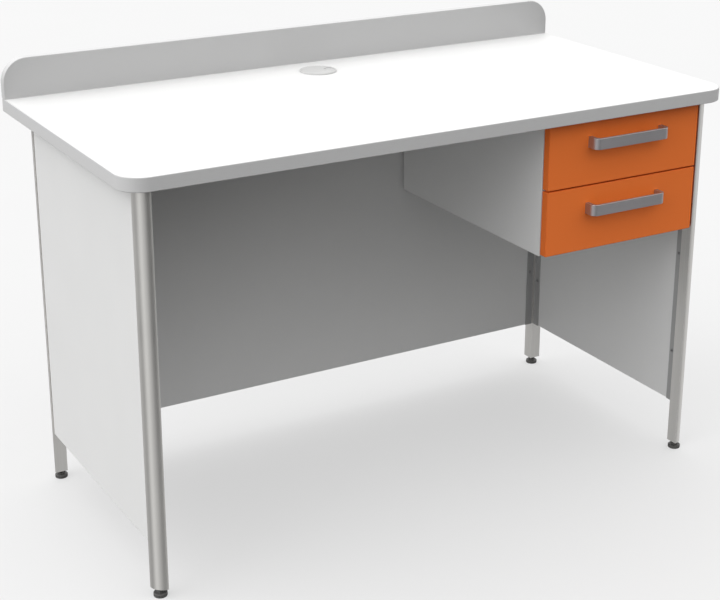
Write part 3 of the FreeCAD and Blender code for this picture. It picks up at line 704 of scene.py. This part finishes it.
# Drawer slides: three nested channels of rolled, zinc-plated steel on each side of each drawer. The
# outer one is fixed in the pedestal, and the inner one is screwed to the drawer. The middle one runs
# between them, and a black plastic lever on the inner one lets the drawer be lifted out.
TIERS = ("upper", "lower")
SLIDE_SHEET = 1.2 * MM
SLIDE_ARRIS = 0.2 * MM
ROLLED_CORNER = {"outer": 3.0 * MM, "middle": 2.5 * MM, "inner": 2.5 * MM}
LEVER_BLACK = (0.03, 0.03, 0.03)
LEVER_SIZE = (46 * MM, 10 * MM)
LEVER_THICKNESS = 2.4 * MM
LEVER_ARRIS = 0.5 * MM
LEVER_SETBACK = 80 * MM
SLIDE_SCREW_SETBACKS = (35 * MM, 155 * MM)
SLIDE_SCREW_LENGTH = 10 * MM
SLIDE_SCREW_HEAD = (3.5 * MM, 1.6 * MM)
SLIDE_SCREW_SHANK = 1.75 * MM


def rolled_channel(depth, height, corner):
    """The section of a channel: its web upright at the start, its corners rolled and its lips round."""
    heart = height / 2 - corner
    inside = corner - SLIDE_SHEET
    lip = SLIDE_SHEET / 2
    section = arc((corner, -heart), corner, 180, 270, 6)
    section += arc((depth - lip, lip - height / 2), lip, -90, 90, 6)
    section += arc((corner, -heart), inside, 270, 180, 6)
    section += arc((corner, heart), inside, 180, 90, 6)
    section += arc((depth - lip, height / 2 - lip), lip, -90, 90, 6)
    section += arc((corner, heart), corner, 90, 180, 6)
    return section


def slide_member(tier, side, member):
    """Roll one channel. The inner one has its web against the drawer, the others against the pedestal."""
    node = f"{tier}_{side}_slide_{member}"
    low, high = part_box(node)
    way = 1 if (side == "left") != (member == "inner") else -1
    web = low.x if way > 0 else high.x
    middle = (low.z + high.z) / 2

    def stand(across, along, level):
        return (web + way * across, level, middle + along)

    section = rolled_channel(high.x - low.x, high.z - low.z, ROLLED_CORNER[member])
    mesh = bmesh.new()
    slab(mesh, section, low.y, high.y, stand, SLIDE_ARRIS)
    piece = finished_piece(f"{node}_channel", mesh, zinc_plate, zinc_plate)
    stands_for(piece, node)
    if member == "inner":
        slide_fittings(tier, side, web + way * SLIDE_SHEET, way, low.y, middle)


def slide_fittings(tier, side, seat, way, front, middle):
    """Add the lever and the two screws that sit on an inner channel's web."""
    start, end = sorted((seat, seat + way * LEVER_THICKNESS))
    corner = Vector((front + LEVER_SETBACK, middle - LEVER_SIZE[1] / 2))
    outline = rounded_rectangle(corner, corner + Vector(LEVER_SIZE), [LEVER_SIZE[1] / 3] * 4, steps=6)
    lever_mesh = bmesh.new()
    slab(lever_mesh, outline, start, end, THIN_ALONG["x"], LEVER_ARRIS)
    lever = finished_piece(f"{tier}_{side}_slide_lever", lever_mesh, lever_plastic, lever_plastic)
    head, head_height = SLIDE_SCREW_HEAD
    size = (SLIDE_SCREW_LENGTH, SLIDE_SCREW_SHANK, head_height)
    inwards = Vector((-way, 0, 0))
    screw_mesh = bmesh.new()
    for setback in SLIDE_SCREW_SETBACKS:
        face = Vector((seat + way * head_height, front + setback, middle))
        screw(screw_mesh, head, face, inwards, *size, countersunk=False)
    fixings = finished_piece(f"{tier}_{side}_slide_screws", screw_mesh, zinc_plate)
    for piece, slot in ((lever, "foot_plastic"), (fixings, "zinc_steel")):
        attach(piece, f"{tier}_drawer")


lever_plastic = moulded("lever_plastic", LEVER_BLACK, roughness=0.4)
for tier in TIERS:
    for side in ("left", "right"):
        for member in ROLLED_CORNER:
            slide_member(tier, side, member)

# Drawers: boxes of 12 mm white board with a thin hardboard bottom, behind fronts of orange laminated board
# whose edges are banded in the same orange, painted darker there as painted shade.
ORANGE = (0.91, 0.202, 0.036)
# The edge orange is the face orange darkened: painted shade on the fronts' edges.
ORANGE_EDGE_PAINTED_SHADE = (0.83, 0.174, 0.029)
BOX_WHITE = (0.68, 0.68, 0.67)
FRONT_ARRIS = 0.8 * MM

orange_laminate = laminate("orange_laminate", ORANGE, gloss=0.2)
orange_edging = edging("orange_edging", ORANGE_EDGE_PAINTED_SHADE, gloss=0.2)
box_board = laminate("box_board", BOX_WHITE)
for tier in TIERS:
    board(f"{tier}_drawer_front", "y", orange_laminate, orange_edging, FRONT_ARRIS)
    board(f"{tier}_drawer_left_side", "x", box_board, white_edging)
    board(f"{tier}_drawer_right_side", "x", box_board, white_edging)
    board(f"{tier}_drawer_back", "y", box_board, white_edging)
    board(f"{tier}_drawer_bottom", "z", hardboard, hardboard, SHEET_ARRIS, SHEET_ARRIS)

# Handles: bows of flat bar with rounded corners in satin nickel grey, each held by two screws through
# the drawer front.
HANDLE_METAL = (0.485, 0.47, 0.485)
HANDLE_BAR = 5 * MM
HANDLE_POST = 8 * MM
HANDLE_CORNER = 12 * MM
HANDLE_INNER_CORNER = 6 * MM
HANDLE_ARRIS = 0.9 * MM
HANDLE_SCREW_SHANK = 2 * MM
HANDLE_SCREW_HEAD = 2.5 * MM

handle_metal = satin_metal("handle_metal", HANDLE_METAL, roughness=0.4, along="x")


def handle(tier):
    """Bend one bow, seen from above, with its ends against the drawer front."""
    low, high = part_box(f"{tier}_handle")
    seat = high.y
    outer = HANDLE_CORNER
    inner = HANDLE_INNER_CORNER
    left_hollow = low.x + HANDLE_POST
    right_hollow = high.x - HANDLE_POST
    back = low.y + HANDLE_BAR
    outline = [Vector((low.x, seat))]
    outline += arc((low.x + outer, low.y + outer), outer, 180, 270, 14)
    outline += arc((high.x - outer, low.y + outer), outer, 270, 360, 14)
    outline += [Vector((high.x, seat)), Vector((right_hollow, seat))]
    outline += arc((right_hollow - inner, back + inner), inner, 0, -90, 10)
    outline += arc((left_hollow + inner, back + inner), inner, 270, 180, 10)
    outline += [Vector((left_hollow, seat))]
    mesh = bmesh.new()
    slab(mesh, outline, low.z, high.z, THIN_ALONG["z"], HANDLE_ARRIS)
    piece = finished_piece(f"{tier}_pull", mesh, handle_metal, handle_metal)
    stands_for(piece, f"{tier}_handle")
    fixings = (HANDLE_SCREW_SHANK, HANDLE_SCREW_HEAD)
    screws(f"{tier}_handle_screws", f"{tier}_pull_screws", *fixings, countersunk=False)


for tier in TIERS:
    handle(tier)

# Studio: a plain pale floor that sweeps up to a far wall, under a broad bright ceiling, with a reflector
# at the left and dark cloths in front and below. White cards stand where the metal would look dull. The
# floor glows a little, and throws no light on the table.
FLOOR_PALE = (0.29, 0.29, 0.29)
FLOOR_GLOW = 0.5
FLOOR_REACH = 30
FLOOR_SEGMENTS = 96
SWEEP_RADIUS = 10
SWEEP_DEPTH = 0.1
SWEEP_STEPS = 16
CARD_DISTANCE = 6
CARD_AIM = Vector((0, 0, 0.3))
KEY_PLACE = Vector((-3.0, 0.2, 1.7))
KEY_STRENGTH = 1.06
KEY_ANGLE = math.radians(60)

floor_finish = Finish("studio_floor", Roughness=0.9, Specular_IOR_Level=0.0, Emission_Strength=FLOOR_GLOW)
floor_finish.show(Emission_Color=(1, 1, 1))
mottle = floor_finish.grain(3, detail=2)
floor_tone = floor_finish.between(mottle, shaded(FLOOR_PALE, 0.99), shaded(FLOOR_PALE, 1.01))
floor_finish.show(Base_Color=floor_tone)
sweep_heart = (FLOOR_REACH, SWEEP_RADIUS)
sweep = arc(sweep_heart, SWEEP_RADIUS, -90, 0, SWEEP_STEPS)
outside = arc(sweep_heart, SWEEP_RADIUS + SWEEP_DEPTH, 0, -90, SWEEP_STEPS)
floor_mesh = bmesh.new()
floor_profile = [(CORE, 0), *sweep, *outside, (CORE, -SWEEP_DEPTH)]
lathe(floor_mesh, floor_profile, (0, 0, 0), FLOOR_SEGMENTS)
floor = finished_piece("studio_floor", floor_mesh, floor_finish)
floor.visible_diffuse = False
floor.visible_glossy = False
floor.visible_shadow = False

dome = bpy.data.worlds.new("studio")
dome.use_nodes = True
bpy.context.scene.world = dome
glow = Shading(dome.node_tree)
outwards = glow.node("TexCoord", {}, {}, "Generated")


def glowing(towards, edge, heart, dim, bright):
    """Light that rises from dim to bright as a direction nears the one given, between two cosines."""
    aim = Vector(towards).normalized()
    nearness = glow.node("VectorMath", {"operation": "DOT_PRODUCT"}, {0: outwards, 1: aim}, "Value")
    span = {"From Min": edge, "From Max": heart, "To Min": dim, "To Max": bright}
    return glow.node("MapRange", {"interpolation_type": "SMOOTHSTEP"}, {"Value": nearness, **span})


def spread(degrees):
    return math.cos(math.radians(degrees))


ceiling = glowing((0, 0, 1), -0.05, 0.5, dim=0.27, bright=1.47)
reflector = glowing((-0.71, -0.47, -0.55), spread(42), spread(16), dim=0, bright=0.5)
front_cloth = glowing((0, -0.97, -0.2), spread(72), spread(40), dim=0, bright=-0.255)
floor_cloth = glowing((0.1, -0.15, -1), spread(60), spread(28), dim=0, bright=-0.25)
daylight = (ceiling + reflector + front_cloth + floor_cloth).at_least(0)
glow.join(dome.node_tree.nodes["Background"], {"Color": daylight})


def lamp(name, kind, energy, location, towards, **settings):
    """Hang a lamp that the camera doesn't see, and turn it towards a point."""
    data = bpy.data.lights.new(name, kind)
    data.energy = energy
    for key, value in settings.items():
        setattr(data, key, value)
    hung = bpy.data.objects.new(name, data)
    hung.location = location
    hung.rotation_euler = (towards - location).to_track_quat("-Z", "Y").to_euler()
    hung.visible_camera = False
    bpy.context.scene.collection.objects.link(hung)
    return hung


def card(name, towards, half_angle, radiance):
    """A round white card far off in a direction, which only gloss and metal catch."""
    radius = CARD_DISTANCE * math.tan(math.radians(half_angle))
    energy = radiance * math.pi * math.pi * radius ** 2
    place = Vector(towards).normalized() * CARD_DISTANCE
    hung = lamp(name, "AREA", energy, place, CARD_AIM, shape="DISK", size=2 * radius)
    hung.visible_diffuse = False


lamp("key", "SUN", KEY_STRENGTH, KEY_PLACE, Vector((0, 0, 0)), angle=KEY_ANGLE)
card("right_card", (0.92, -0.2, -0.27), half_angle=32, radiance=0.36)
card("front_card", (0.36, -0.83, -0.43), half_angle=17, radiance=0.72)
card("low_card", (-0.15, -0.82, -0.55), half_angle=14, radiance=0.3)
card("rear_card", (-0.62, 0.74, -0.27), half_angle=20, radiance=0.18)

# Camera: it stands in front of the table, to its left and above its top, at the photograph's angle. Its
# place, turn, lens and shift were worked out from the straight edges of the top, legs and panels.
CAMERA_PLACE = (-1.408914, -2.421119, 1.431634)
CAMERA_TURN = (1.236278, 0.00003, -0.518566)
CAMERA_LENS = 78.267
CAMERA_SENSOR = 36
CAMERA_SHIFT = (0.00267, -0.08220)

camera_data = bpy.data.cameras.new("camera")
camera_data.sensor_width = CAMERA_SENSOR
camera_data.lens = CAMERA_LENS
camera_data.shift_x, camera_data.shift_y = CAMERA_SHIFT
camera = bpy.data.objects.new("camera", camera_data)
camera.location = CAMERA_PLACE
camera.rotation_euler = CAMERA_TURN
bpy.context.scene.collection.objects.link(camera)
bpy.context.scene.camera = camera
bpy.context.scene.view_settings.view_transform = "Standard"
